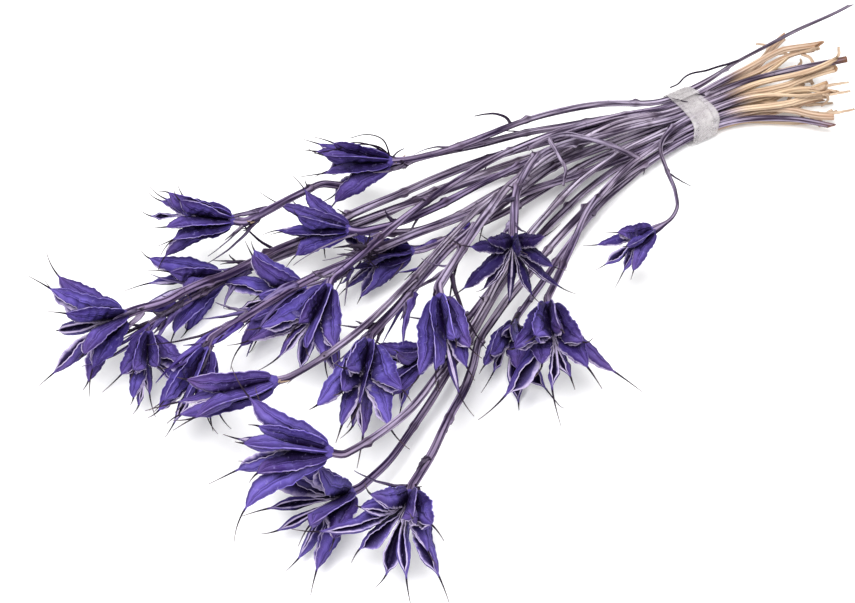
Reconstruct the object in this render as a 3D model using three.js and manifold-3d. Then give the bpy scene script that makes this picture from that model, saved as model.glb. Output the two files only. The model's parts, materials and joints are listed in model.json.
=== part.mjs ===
// A tied bunch of dried, dyed nigella seed pods lying on a table.
// Millimetres, +Z up, +X from the pods towards the cut ends; the table is z = 0.
// Every stem carries one seed pod: a ring of boat-shaped carpels, joined round the axis at
// their lower half, gaping along the inner side and drawn out into a thin beak.
import * as THREE from "three";
import { mergeVertices } from "three/addons/utils/BufferGeometryUtils.js";
import Module from "manifold-3d";

const wasm = await Module();
wasm.setup();

// Carpels of a full-sized pod. Each depth is at the foot, at the tip and the most it swells by between.
const CARPEL_LENGTH = 27;
const BEAK_LENGTH = 8;
const BEAK_RADIUS = 0.6;
const CARPEL_START = { out: 1.2, along: 0.8 };
const KEEL = { foot: 1.2, tip: 0.5, swell: 3.6 };
const LIP = { foot: 0.8, tip: 0.5, swell: 3.2 };
const SIDE = { foot: 1, tip: 0.5, swell: 2.3 };
const KEEL_SHOULDER = 0.64;
const BELLY_SHIFT = 0.85;
const WALL = 1.2;
const AXIS_GAP = 0.35;
const ROOM_SHARE = 0.76;
const FOOT_RADIUS = 2;
const FREE_STATIONS = [0.3, 0.65, 1, 1.5];

// Pods that spread narrow and wide: degrees at the beak, how far up the carpels join, how much they gape
const NARROW = { flare: 20, joined: 0.44, gape: 0.35 };
const WIDE = { flare: 65, joined: 0.28, gape: 1 };
const SIDES_CLOSED = 0.25;

// How much the carpels of one pod differ: degrees of lean at the foot and the beak, shares of the rest
const FOOT_SWAY = 8;
const END_SWAY = 30;
const LENGTH_SPREAD = 0.24;
const BEAK_SPREAD = 0.5;
const BEAK_CURL = [-20, 30];
const SPACING_SPREAD = 0.2;

// Stems
const STEM_RADIUS = 1.45;
const STEM_RADIUS_SPREAD = 0.3;
const STEM_TIP_SHARE = 1.05;
const STEM_COLLAR_RADIUS = 1.8;
const STEM_COLLAR_LENGTH = 9;
const STEM_SIDES = 5;
const STEM_STEP = 15;
const STEM_CROWDING = 1.7;
const POD_GAP = 0.3;

// A stem's sweep from the tape to its pod: how far it keeps each end's direction, as shares of the way,
// the straight neck under the pod, the share of the pod's axis in the direction in which the stem comes
// up to the neck, how the bundle opens sideways and upwards, and the bow of the whole bundle to one side
const KEEP_AHEAD = 0.42;
const KEEP_ARRIVAL = 0.3;
const NECK = 5;
const NOD = 0.3;
const OPEN_ASIDE = 2;
const OPEN_UP = 0.6;
const BUNDLE_BOW = 8;

// Tails behind the tape: degrees the fan is turned by, opens by for each place and varies by
const TAIL_STEPS = 3;
const TAIL_YAW = -24;
const TAIL_FAN = 6.5;
const TAIL_SPREAD = 8;
const TAIL_RISE = 0.008;

// The band of clear tape and the rows of stems inside it; yaw turns both about the middle of the tape
const BUNDLE_YAW = -8;
const BUNDLE_ROWS = [5, 6, 5, 5];
const BUNDLE_PITCH = 3.7;
const TAPE_WIDTH = 11;
const TAPE_THICKNESS = 0.7;
const TAPE_SLACK = 0.45;
const TAPE_CORNER = 3.6;
const TAPE_CORNER_STEPS = 5;
const TAPE_FLAP = 6;
const TAPE_FLAP_LIFT = 12;

// How far apart pieces are kept, and how the stems are bent to keep it
const CLEARANCE = 0.5;
const TABLE_GAP = 0.2;
const LARGEST_GAP = 8;
const GUARD_STATIONS = [0.1, 0.4, 0.7, 1, 2];
const BEND_ROUNDS = 160;
const BEND_STIFFNESS = 0.4;
const BEND_PUSH = 0.5;

// Seed pods as they lie. at: where the stem meets the pod, from the middle of the tape on the table.
// yaw and pitch: the pod's axis, degrees from +X towards +Y and above level. turn: about that axis.
// flare: the carpels' angle from the axis at the foot and at the beak. tail: stem behind the tape.
const PODS = [
  { at: [-264, 36, 34], yaw: 175, pitch: 6, turn: 26, carpels: 9, flare: [26, 54], size: 1.1, tail: 60 },
  { at: [-212, 47, 14.5], yaw: 165, pitch: 6, turn: 37, carpels: 7, flare: [20, 42], size: 1.1, tail: 58 },
  { at: [-208, 42, 44], yaw: 139, pitch: 5, turn: 21, carpels: 10, flare: [12, 42], size: 1, tail: 62 },
  { at: [-136, 34, 38], yaw: 138, pitch: -6, turn: 1, carpels: 8, flare: [12, 34], size: 1, tail: 91 },
  { at: [-171.5, 16.6, 35], yaw: 128, pitch: -3, turn: 13, carpels: 8, flare: [12, 34], size: 0.9, tail: 60 },
  { at: [-196.5, 13.6, 20], yaw: 161, pitch: 1, turn: 16, carpels: 8, flare: [20, 48], size: 1.05, tail: 60 },
  { at: [-204, -12, 46.5], yaw: -148, pitch: -7, turn: 25, carpels: 9, flare: [14, 40], size: 1.1, tail: 64 },
  { at: [-259, 29, 25], yaw: -128, pitch: 2, turn: 15, carpels: 8, flare: [12, 34], size: 1, tail: 54 },
  { at: [-254.5, -4, 41], yaw: -148, pitch: -9, turn: 30, carpels: 8, flare: [16, 42], size: 1, tail: 54 },
  { at: [-253, -44, 57], yaw: 157, pitch: -4, turn: 40, carpels: 5, flare: [8, 24], size: 1.15, tail: 54 },
  { at: [-259, -83, 58], yaw: 138, pitch: 7, turn: 7, carpels: 8, flare: [9, 30], size: 1.25, tail: 56 },
  { at: [-209, -42, 44], yaw: -136, pitch: 5, turn: 17, carpels: 9, flare: [8, 28], size: 1.25, tail: 62 },
  { at: [-179, -40, 17], yaw: 180, pitch: 3, turn: 28, carpels: 7, flare: [12, 34], size: 0.9, tail: 50 },
  { at: [-244, -74, 17], yaw: -176, pitch: 15, turn: 3, carpels: 9, flare: [26, 52], size: 1.1, tail: 52 },
  { at: [-237, -99, 33], yaw: -140, pitch: 12, turn: 2, carpels: 10, flare: [22, 47], size: 1.1, tail: 50 },
  { at: [-180, -48, 54], yaw: -124, pitch: -9, turn: 31, carpels: 7, flare: [8, 24], size: 1.15, tail: 68 },
  { at: [-142, -48, 13.5], yaw: -142, pitch: 9, turn: 24, carpels: 7, flare: [14, 38], size: 1, tail: 48 },
  { at: [-140, -64, 35], yaw: -128, pitch: 7, turn: 11, carpels: 10, flare: [12, 37], size: 1.25, tail: 50 },
  { at: [-152, -56, 72.5], yaw: -133, pitch: -2, turn: 14, carpels: 10, flare: [34, 64], size: 1, tail: 60 },
  { at: [-83, -61, 37], yaw: -179, pitch: 4, turn: 2, carpels: 6, flare: [22, 52], size: 0.8, tail: 52 },
  { at: [-150, 4.5, 19], yaw: 159, pitch: 5, turn: 39, carpels: 8, flare: [12, 34], size: 0.95, tail: 52 },
];

// Counted from 1 in the list above: pods that lie on the table, and pods whose stems come up to them
// from further above or straight along the axis
const RESTING = [2, 6, 14];
const OWN_NOD = { 3: -0.6, 19: 1, 20: 1 };

const VIOLET = new THREE.MeshStandardMaterial({ color: "#4b3f9e", roughness: 0.62, metalness: 0 });
const MAUVE = new THREE.MeshStandardMaterial({ color: "#7d6f8c", roughness: 0.75, metalness: 0 });
const MILKY = new THREE.MeshStandardMaterial({ color: "#dfe0dc", roughness: 0.35, metalness: 0 });

const { cos, sin, hypot, max, min, PI } = Math;
const { degToRad: radians, smoothstep, lerp } = THREE.MathUtils;
const upTo = (count) => Array.from({ length: count }, (_, k) => k);
const halfway = (a, b) => a.clone().lerp(b, 0.5);
const twoDigits = (k) => String(k + 1).padStart(2, "0");

// A repeatable draw from 0 to 1 for piece number k of a pod.
function draw(pod, k, use) {
  const v = sin(pod * 12.9898 + k * 78.233 + use * 37.719) * 43758.5453;
  return v - Math.floor(v);
}

// A closed skin over rings of points, each ring with the same count and each end closed by a fan.
function loft(rings) {
  const count = rings[0].length;
  const points = rings.flat();
  const faces = [];
  for (let r = 0; r + 1 < rings.length; r++)
    for (let k = 0; k < count; k++) {
      const a = r * count + k;
      const b = r * count + ((k + 1) % count);
      faces.push(a, b, b + count, a, b + count, a + count);
    }
  const last = (rings.length - 1) * count;
  for (let k = 1; k + 1 < count; k++) faces.push(0, k + 1, k, last, last + k, last + k + 1);
  return new THREE.BufferGeometry().setFromPoints(points).setIndex(faces);
}

// A closed geometry as a solid that can be joined and cut.
function solid(geometry) {
  const bare = geometry.clone().deleteAttribute("normal").deleteAttribute("uv");
  const merged = mergeVertices(bare);
  const vertProperties = new Float32Array(merged.getAttribute("position").array);
  const triVerts = new Uint32Array(merged.index.array);
  return new wasm.Manifold(new wasm.Mesh({ numProp: 3, vertProperties, triVerts }));
}

// A solid's largest body as a geometry, with sealed hollows filled and loose scraps dropped.
function geometryOf(shape) {
  const body = shape.decompose().reduce((a, b) => (b.volume() > a.volume() ? b : a));
  const { vertProperties, triVerts } = body.getMesh();
  return new THREE.BufferGeometry()
    .setAttribute("position", new THREE.BufferAttribute(vertProperties, 3))
    .setIndex(new THREE.BufferAttribute(triVerts, 1));
}

// Point and angle at share u of a circular arc in the carpel's own plane: out from the axis and along it.
function alongArc(start, from, to, length, u) {
  const turn = to - from;
  const angle = from + turn * u;
  const reach = length / turn;
  const out = start.out + reach * (cos(from) - cos(angle));
  const along = start.along + reach * (sin(angle) - sin(from));
  return { out, along, angle };
}

// The line of carpel k from its foot to its beak: a function of s, 0 to 1 on the body, 1 to 2 on the beak.
function carpelLine(pod, number, k) {
  const { carpels, flare, size, turn } = pod;
  const sway = draw(number, k, 2) - 0.5;
  const foot = radians(flare[0] + FOOT_SWAY * sway);
  const end = radians(flare[1] + END_SWAY * sway);
  const length = CARPEL_LENGTH * size * (1 + LENGTH_SPREAD * (draw(number, k, 3) - 0.5));
  const beak = BEAK_LENGTH * size * (1 + BEAK_SPREAD * (draw(number, k, 4) - 0.5));
  const curl = end + radians(lerp(...BEAK_CURL, draw(number, k, 5)));
  const spacing = (2 * PI) / carpels;
  const round = spacing * (k + SPACING_SPREAD * (draw(number, k, 1) - 0.5)) + radians(turn);
  const start = { out: CARPEL_START.out * size, along: CARPEL_START.along * size };
  const tip = alongArc(start, foot, end, length, 1);
  const at = (s) =>
    s <= 1 ? alongArc(start, foot, end, length, s) : alongArc(tip, end, curl, beak, s - 1);
  return { at, round };
}

// How far up the carpels are joined, and how wide they gape: a pod that spreads wide is split further.
function opening({ flare }) {
  const width = smoothstep(flare[1], NARROW.flare, WIDE.flare);
  return { joined: lerp(NARROW.joined, WIDE.joined, width), gape: lerp(NARROW.gape, WIDE.gape, width) };
}

// Cross-section of carpel k at s: keel outside, two sides, and the inner edge. Where the carpel gapes its
// sides draw in to lips and the inner edge sinks to a furrow, so that the wedge turns into a boat.
function carpelSection(pod, number, k, s) {
  const { carpels, size } = pod;
  const { gape, joined } = opening(pod);
  const { at, round } = carpelLine(pod, number, k);
  const { out, along, angle } = at(s);
  const place = (off, aside) => {
    const r = out + off * cos(angle);
    const x = r * cos(round) - aside * sin(round);
    const y = r * sin(round) + aside * cos(round);
    return new THREE.Vector3(x, y, along - off * sin(angle));
  };
  if (s > 1) {
    const thin = BEAK_RADIUS * size * (1.6 - s / 2);
    return [place(thin, 0), place(0, thin), place(-thin, 0), place(0, -thin)];
  }
  const depth = ({ foot, tip, swell }, skew) => size * (lerp(foot, tip, s) + swell * sin(PI * s ** skew));
  const open = gape * smoothstep(s, joined, joined + 0.2) * (1 - smoothstep(s, 0.85, 1));
  const keel = depth(KEEL, KEEL_SHOULDER);
  const lip = min(depth(LIP, BELLY_SHIFT), (out - AXIS_GAP) / cos(angle));
  const sides = -lip * lerp(SIDES_CLOSED, 1, open);
  const room = ROOM_SHARE * Math.tan(PI / carpels) * (out + sides * cos(angle));
  const spread = min(depth(SIDE, BELLY_SHIFT), room);
  const furrow = -lip + open * (lip + keel - WALL * size);
  return [place(keel, 0), place(sides, spread), place(furrow, 0), place(sides, -spread)];
}

// One seed pod, foot at the origin and axis along +Z, as one skin. Rings with a keel and a valley for each
// carpel run from the foot to where the carpels part; from there each goes on by itself to its beak.
function podSkin(pod, number) {
  const { carpels, size } = pod;
  const { joined } = opening(pod);
  const points = [];
  const faces = [];
  const add = (p) => points.push(p) - 1;
  // Each face folds from a valley or lip up to the next keel or furrow, so that thin walls never cross.
  const strip = (low, high) =>
    low.forEach((a, k) => {
      const b = (k + 1) % low.length;
      if (k % 2) faces.push(a, low[b], high[b], a, high[b], high[k]);
      else faces.push(a, low[b], high[k], low[b], high[b], high[k]);
    });
  const joinedRing = (s) => {
    const sections = upTo(carpels).map((k) => carpelSection(pod, number, k, s));
    return sections.flatMap(([keel, side], k) => {
      const next = sections[(k + 1) % carpels][3];
      return [add(keel), add(halfway(side, next))];
    });
  };
  const foot = upTo(2 * carpels).map((k) => {
    const angle = carpelLine(pod, number, 0).round + (PI * k) / carpels;
    return add(new THREE.Vector3(FOOT_RADIUS * size * cos(angle), FOOT_RADIUS * size * sin(angle), 0));
  });
  for (let k = 1; k + 1 < foot.length; k++) faces.push(foot[0], foot[k + 1], foot[k]);
  const waist = joinedRing(joined / 2);
  const parting = joinedRing(joined);
  strip(foot, waist);
  strip(waist, parting);
  const heart = carpelLine(pod, number, 0).at(joined).along;
  const middle = add(new THREE.Vector3(0, 0, heart));
  for (let k = 0; k < carpels; k++) {
    const count = parting.length;
    let ring = [parting[2 * k], parting[2 * k + 1], middle, parting[(2 * k - 1 + count) % count]];
    for (const share of FREE_STATIONS) {
      const s = joined + share * (1 - joined);
      const next = carpelSection(pod, number, k, share > 1 ? share : s).map(add);
      strip(ring, next);
      ring = next;
    }
    const { at, round } = carpelLine(pod, number, k);
    const end = at(2);
    const tip = add(new THREE.Vector3(end.out * cos(round), end.out * sin(round), end.along));
    ring.forEach((a, j) => faces.push(a, ring[(j + 1) % ring.length], tip));
  }
  return new THREE.BufferGeometry().setFromPoints(points).setIndex(faces);
}

// The pod's place: its foot at the origin and its axis along +Z, turned and set where the pod lies.
function podPlace({ at, yaw, pitch }) {
  const h = radians(yaw);
  const p = radians(pitch);
  const axis = new THREE.Vector3(cos(h) * cos(p), sin(h) * cos(p), sin(p));
  const aside = new THREE.Vector3(-sin(h), cos(h), 0);
  const above = new THREE.Vector3().crossVectors(axis, aside);
  return { axis, matrix: new THREE.Matrix4().makeBasis(aside, above, axis).setPosition(...at) };
}

// One seed pod where it lies.
function seedPod(pod, number) {
  return podSkin(pod, number).applyMatrix4(podPlace(pod).matrix);
}

// The pod raised or lowered until its lowest point touches the table.
function settled(pod, number) {
  const skin = seedPod(pod, number);
  skin.computeBoundingBox();
  const [x, y, z] = pod.at;
  return { ...pod, at: [x, y, z - skin.boundingBox.min.z] };
}

// Which place each stem takes in the tape: high pods' stems in the upper rows, and each row in the
// order in which its pods lie from side to side, so that the stems fan out without crossing.
function bundlePlaces(pods) {
  const rise = ({ at }) => at[2] / hypot(at[0], at[1]);
  const swing = ({ at }) => Math.atan2(at[1], -at[0]);
  const order = pods.map((_, i) => i).sort((a, b) => rise(pods[a]) - rise(pods[b]));
  const places = [];
  const rowRise = BUNDLE_PITCH * sin(PI / 3);
  BUNDLE_ROWS.forEach((count, row) => {
    const members = order.splice(0, count).sort((a, b) => swing(pods[a]) - swing(pods[b]));
    const shift = row === BUNDLE_ROWS.length - 1 ? 0.5 : 0;
    members.forEach((stem, k) => {
      const y = BUNDLE_PITCH * (k - (count - 1) / 2 + shift);
      places[stem] = { y, z: bundleFoot() + row * rowRise };
    });
  });
  return places;
}

// Height of the lowest row of stems above the table.
function bundleFoot() {
  return TAPE_THICKNESS + TAPE_SLACK + STEM_RADIUS + STEM_RADIUS_SPREAD / 2;
}

// A point of a stem inside the tape, x along the tape's own axis.
function inBundle(x, { y, z }) {
  return new THREE.Vector3(x, y, z).applyAxisAngle(new THREE.Vector3(0, 0, 1), radians(BUNDLE_YAW));
}

// A stem's first line: a fanned tail behind the tape, straight through it, then one sweep up to the neck
// and the neck itself, along the pod's axis. Points crowd towards the pod, where the stem nods.
function firstRoute(pod, number, place) {
  const { axis } = podPlace(pod);
  const root = inBundle(-TAPE_WIDTH / 2, place);
  const leave = inBundle(TAPE_WIDTH / 2, place);
  const ahead = root.clone().sub(leave).normalize();
  const foot = new THREE.Vector3(...pod.at).addScaledVector(axis, -POD_GAP);
  const neck = foot.clone().addScaledVector(axis, -NECK);
  const span = root.distanceTo(neck);
  const arrival = neck.clone().sub(root).normalize().lerp(axis, OWN_NOD[number] ?? NOD).normalize();
  const first = root.clone().addScaledVector(ahead, KEEP_AHEAD * span);
  first.add(new THREE.Vector3(0, OPEN_ASIDE * place.y + BUNDLE_BOW, OPEN_UP * place.z));
  const second = neck.clone().addScaledVector(arrival, -KEEP_ARRIVAL * span);
  const sweep = new THREE.CubicBezierCurve3(root, first, second, neck);
  const own = TAIL_SPREAD * (draw(number, 0, 6) - 0.5);
  const fan = radians(TAIL_YAW + (TAIL_FAN * place.y) / BUNDLE_PITCH + own);
  const points = [];
  for (let k = TAIL_STEPS; k > 0; k--) {
    const behind = (pod.tail * k) / TAIL_STEPS;
    const bend = fan * Math.sqrt(k / TAIL_STEPS);
    const rise = TAIL_RISE * behind * (place.z - 2 * bundleFoot());
    points.push(leave.clone().add(new THREE.Vector3(behind * cos(bend), behind * sin(bend), rise)));
  }
  points.push(leave);
  const steps = Math.round(span / STEM_STEP);
  for (let k = 0; k <= steps; k++) points.push(sweep.getPoint(1 - (1 - k / steps) ** STEM_CROWDING));
  return [...points, foot];
}

// Closest points of segments ab and cd, as the shares along each.
function closestShares(a, b, c, d) {
  const u = b.clone().sub(a);
  const v = d.clone().sub(c);
  const w = a.clone().sub(c);
  const uu = u.dot(u);
  const uv = u.dot(v);
  const vv = v.dot(v);
  const uw = u.dot(w);
  const vw = v.dot(w);
  const det = uu * vv - uv * uv;
  const clamp = (x) => min(1, max(0, x));
  let s = det > 1e-9 ? clamp((uv * vw - vv * uw) / det) : 0.5;
  const t = clamp((uv * s + vw) / vv);
  s = clamp((uv * t - uw) / uu);
  return [s, t];
}

// Radius of a stem at share u from its cut end, toPod before the pod: it thins a little on its way
// and widens again to a collar under the pod.
function stemRadius(number, u, toPod) {
  const cut = STEM_RADIUS + STEM_RADIUS_SPREAD * (draw(number, 0, 7) - 0.5);
  const plain = cut * (1 - (1 - STEM_TIP_SHARE) * u);
  const collar = 1 - smoothstep(toPod, 0, STEM_COLLAR_LENGTH);
  return plain + (STEM_COLLAR_RADIUS - plain) * collar;
}

// A stem's line with a radius at each point. The points that the tape or the pod holds stay put.
function stemLine(pod, number, place) {
  const points = firstRoute(pod, number, place);
  const last = points.length - 1;
  const end = points[last];
  const radii = points.map((p, k) => stemRadius(number, k / last, p.distanceTo(end)));
  const held = points.map((_, k) => k === TAIL_STEPS || k === TAIL_STEPS + 1 || k >= last - 1);
  return { points, radii, held, pod: number };
}

// What a stem keeps clear of on a pod: the middle line of each carpel, as thick as the carpel is there.
function carpelGuards(pod, number) {
  const { matrix } = podPlace(pod);
  return upTo(pod.carpels).map((k) => {
    const sections = GUARD_STATIONS.map((s) => carpelSection(pod, number, k, s));
    const points = sections.map(([keel, right, inner, left]) =>
      halfway(halfway(keel, inner), halfway(right, left)).applyMatrix4(matrix),
    );
    const radii = sections.map(([keel, right, inner, left]) => {
      const across = right.distanceTo(left);
      return max(keel.distanceTo(inner), across) / 2;
    });
    return { points, radii, pod: number };
  });
}

// Pushes two lines apart where they come closer than their radii and the clearance allow.
function pushApart(first, second) {
  for (let i = 0; i + 1 < first.points.length; i++)
    for (let j = 0; j + 1 < second.points.length; j++) {
      const [a, b] = [first.points[i], first.points[i + 1]];
      const [c, d] = [second.points[j], second.points[j + 1]];
      const reach = (a.distanceTo(b) + c.distanceTo(d)) / 2 + LARGEST_GAP;
      const far = hypot(a.x + b.x - c.x - d.x, a.y + b.y - c.y - d.y, a.z + b.z - c.z - d.z) / 2;
      if (far > reach) continue;
      const [s, t] = closestShares(a, b, c, d);
      const apart = a.clone().lerp(b, s).sub(c.clone().lerp(d, t));
      const firstRadius = lerp(first.radii[i], first.radii[i + 1], s);
      const secondRadius = lerp(second.radii[j], second.radii[j + 1], t);
      const short = firstRadius + secondRadius + CLEARANCE - apart.length();
      if (short <= 0) continue;
      apart.setLength(BEND_PUSH * short);
      first.shift[i].addScaledVector(apart, 1 - s);
      first.shift[i + 1].addScaledVector(apart, s);
      second.shift[j].addScaledVector(apart, t - 1);
      second.shift[j + 1].addScaledVector(apart, -t);
    }
}

// Bends the stems until they pass clear of each other, of the pods and of the table. A push is spread over
// the points beside it, so that a stem bows instead of kinking.
function bendClear(stems, guards) {
  for (let round = 0; round < BEND_ROUNDS; round++) {
    for (const line of [...stems, ...guards]) line.shift = line.points.map(() => new THREE.Vector3());
    stems.forEach((stem, i) => {
      for (const other of stems.slice(i + 1)) pushApart(stem, other);
      for (const guard of guards) if (guard.pod !== stem.pod) pushApart(stem, guard);
    });
    for (const { points, radii, held, shift } of stems) {
      const spread = shift.map((own, k) => {
        const beside = shift[max(k - 1, 0)].clone().add(shift[min(k + 1, shift.length - 1)]);
        return own.clone().multiplyScalar(1 - BEND_STIFFNESS).addScaledVector(beside, BEND_STIFFNESS / 2);
      });
      points.forEach((p, k) => {
        if (!held[k]) p.add(spread[k]);
        p.z = max(p.z, radii[k] + TABLE_GAP);
      });
    }
  }
}

// A stem as a skin over rings square to its line.
function stemSkin({ points, radii }) {
  const last = points.length - 1;
  const normal = new THREE.Vector3(0, 0, 1);
  const rings = points.map((p, k) => {
    const forward = points[min(k + 1, last)].clone().sub(points[max(k - 1, 0)]).normalize();
    normal.addScaledVector(forward, -normal.dot(forward)).normalize();
    const aside = forward.clone().cross(normal);
    return upTo(STEM_SIDES).map((j) => {
      const angle = (2 * PI * j) / STEM_SIDES;
      const rim = normal.clone().multiplyScalar(cos(angle)).addScaledVector(aside, sin(angle));
      return p.clone().addScaledVector(rim, radii[k]);
    });
  });
  return loft(rings);
}

// Outline of a rounded band, width across and height up from the table, drawn in by inset all round.
function bandOutline(width, height, corner, inset) {
  const outline = new THREE.Path();
  const x = width / 2 - inset;
  const [low, high, r] = [inset, height - inset, corner - inset];
  outline.moveTo(r - x, low).lineTo(x - r, low).absarc(x - r, low + r, r, -PI / 2, 0);
  outline.absarc(x - r, high - r, r, 0, PI / 2).absarc(r - x, high - r, r, PI / 2, PI);
  outline.absarc(r - x, low + r, r, PI, 1.5 * PI);
  return outline.getPoints(TAPE_CORNER_STEPS);
}

// The tape round the bundle, with its loose end standing off at the upper edge.
function tapeBand() {
  const rowRise = BUNDLE_PITCH * sin(PI / 3);
  const height = 2 * bundleFoot() + (BUNDLE_ROWS.length - 1) * rowRise;
  const width = 2 * bundleFoot() + (max(...BUNDLE_ROWS) - 1) * BUNDLE_PITCH;
  const outline = new THREE.Shape(bandOutline(width, height, TAPE_CORNER, 0));
  outline.holes.push(new THREE.Path(bandOutline(width, height, TAPE_CORNER, TAPE_THICKNESS)));
  const band = new THREE.ExtrudeGeometry(outline, { depth: TAPE_WIDTH, bevelEnabled: false });
  const flap = new THREE.BoxGeometry(TAPE_FLAP, TAPE_THICKNESS, TAPE_WIDTH);
  flap.translate(TAPE_FLAP / 2, -TAPE_THICKNESS / 2, TAPE_WIDTH / 2).rotateZ(radians(TAPE_FLAP_LIFT));
  flap.translate(width / 2 - TAPE_CORNER, height, 0);
  const shape = geometryOf(solid(band).add(solid(flap)));
  const [across, up, along] = [0, 1, 2].map((axis) => new THREE.Vector3().setComponent((axis + 1) % 3, 1));
  shape.applyMatrix4(new THREE.Matrix4().makeBasis(across, up, along));
  return shape.translate(-TAPE_WIDTH / 2, 0, 0).rotateZ(radians(BUNDLE_YAW));
}

const bunch = new THREE.Group();
function addPiece(name, geometry, material) {
  geometry.computeVertexNormals();
  const piece = new THREE.Mesh(geometry, material.clone());
  piece.name = name;
  bunch.add(piece);
}

const pods = PODS.map((pod, i) => (RESTING.includes(i + 1) ? settled(pod, i + 1) : pod));
const places = bundlePlaces(pods);
const stems = pods.map((pod, i) => stemLine(pod, i + 1, places[i]));
const guards = pods.flatMap((pod, i) => carpelGuards(pod, i + 1));
bendClear(stems, guards);
pods.forEach((pod, i) => addPiece(`pod_${twoDigits(i)}`, seedPod(pod, i + 1), VIOLET));
stems.forEach((stem, i) => addPiece(`stem_${twoDigits(i)}`, stemSkin(stem), MAUVE));
addPiece("tape_band", tapeBand(), MILKY);

// The origin is the middle of the bunch's outline on the table.
const box = new THREE.Box3().setFromObject(bunch);
const middle = box.getCenter(new THREE.Vector3());
bunch.position.set(-middle.x, -middle.y, -box.min.z);

const root = new THREE.Group();
root.add(bunch);
export default root;
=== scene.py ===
"""A tied bunch of dried, violet-dyed nigella seed pods lying on a pale floor.

Every surface is a grid of points worked out as whole arrays: carpels, stems, threads and tape are sections
carried along a line. Lengths in the tables are millimetres, and angles degrees.
"""

import json

import bpy
import numpy as np
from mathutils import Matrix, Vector


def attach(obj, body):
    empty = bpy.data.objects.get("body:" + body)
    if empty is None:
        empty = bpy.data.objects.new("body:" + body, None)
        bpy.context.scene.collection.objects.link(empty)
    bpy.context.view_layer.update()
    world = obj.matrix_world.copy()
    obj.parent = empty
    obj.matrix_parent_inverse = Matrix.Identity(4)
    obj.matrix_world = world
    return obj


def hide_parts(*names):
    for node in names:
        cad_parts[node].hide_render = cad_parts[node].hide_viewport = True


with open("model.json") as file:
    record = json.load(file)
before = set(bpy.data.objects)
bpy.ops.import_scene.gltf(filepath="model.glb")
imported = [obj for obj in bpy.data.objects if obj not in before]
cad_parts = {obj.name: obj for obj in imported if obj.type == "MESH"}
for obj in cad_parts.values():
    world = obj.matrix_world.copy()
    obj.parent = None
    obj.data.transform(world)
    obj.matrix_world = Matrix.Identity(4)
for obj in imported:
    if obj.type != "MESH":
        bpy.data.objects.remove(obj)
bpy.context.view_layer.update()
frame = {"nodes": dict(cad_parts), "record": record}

MM = 0.001
TURN = 2 * np.pi

# The pods, in the order of the nodes: yaw and pitch of the axis, turn about it, number of carpels,
# the carpels' angle from the axis at the foot and at the beak, and size.
PODS = [
    (175, 6, 266, 9, 26, 54, 1.1),
    (165, 6, 346, 7, 20, 42, 1.1),
    (139, 5, 21, 10, 12, 42, 1.0),
    (138, -6, 91, 8, 12, 34, 1.0),
    (128, -3, 328, 8, 12, 34, 0.9),
    (161, 1, 106, 8, 20, 48, 1.05),
    (-148, -7, 105, 9, 14, 40, 1.1),
    (-128, 2, 15, 8, 12, 34, 1.0),
    (-148, -9, 345, 8, 16, 42, 1.0),
    (157, -4, 184, 5, 8, 24, 1.15),
    (138, 7, 97, 8, 9, 34, 1.12),
    (-136, 5, 97, 9, 8, 28, 1.25),
    (180, 3, 234, 7, 12, 34, 0.9),
    (-176, 15, 3, 9, 26, 52, 1.1),
    (-140, 12, 2, 10, 22, 47, 1.1),
    (-124, -9, 237, 7, 8, 24, 1.15),
    (-142, 9, 333, 7, 14, 38, 1.0),
    (-128, 7, 83, 10, 12, 37, 1.25),
    (-133, -2, 158, 10, 34, 64, 0.8),
    (-179, 4, 182, 6, 22, 52, 0.8),
    (159, 5, 354, 8, 12, 34, 0.95),
]

# Carpels: length of body and beak, where they start, and the section's depth in four directions: at the foot,
# at the tip, of the swell, and where that lies. Then how carpels are joined, gape, and keep off the floor
CARPEL_LENGTH = 27
BEAK_LENGTH = 8
CARPEL_START_OUT = 1.2
CARPEL_START_ALONG = 0.8
KEEL = (1.2, 0.35, 3.6, 0.8)
LIP = (0.8, 0.35, 3.0, 0.95)
SIDE = (1.0, 0.35, 1.4, 0.7)
OPEN_SIDE = (1.0, 0.35, 3.3, 0.9)
FULLNESS = 0.6
AXIS_GAP = 0.35
ROOM_SHARE = 0.8
FUSED_SHARE = 1.04
FLARE_RANGE = (20, 65)
JOINED_RANGE = (0.27, 0.15)
GAPE_RANGE = (0.65, 0.95)
GAPE_SPREAD = (0.1, 1.5)
SIDES_CLOSED = 0.25
FLOOR_GAP = 0.3

# How much the carpels of one pod differ
FOOT_SWAY = 14
END_SWAY = 60
LENGTH_SPREAD = 0.36
BEAK_SPREAD = 1.1
BEAK_CURL = (-20, 35)
SPACING_SPREAD = 0.45
VIGOUR = (0.8, 1.08)
BODY_LEAN = 0.8
BEAK_SWING = 3
TWIST = 50
WAVE = 0.15
DENT = 0.65
SEEDS = 6.5
SEED_SWELL = 0.17

# Pods that took up more dye, by how much darker they are, and pods whose carpels stayed nearly shut
DARK_PODS = {4: 0.3, 5: 0.4, 17: 0.35, 19: 0.95, 20: 0.15, 21: 0.5}
SHUT_PODS = {19: 0.3}

# Fine form of a carpel: the nerves on its keel and along each face, swell of the faces, lips, wall and beak
NERVE_HALF = 0.24
NERVE_RISE = 0.24
FACE_SWELL = 0.12
FACE_SHARES = (0.14, 0.3, 0.37, 0.43, 0.49, 0.62, 0.8, 1)
FACE_NERVE = (0, 0, -0.3, 0.9, -0.3, 0, 0, 0)
LIP_SHUT = 0.3
RIM_WIDTH = 0.46
WALL = 0.8
BEAK_ROOT = 0.42
BEAK_POINT = 0.1
BODY_STATIONS = 33
BEAK_STATIONS = 12

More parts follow.
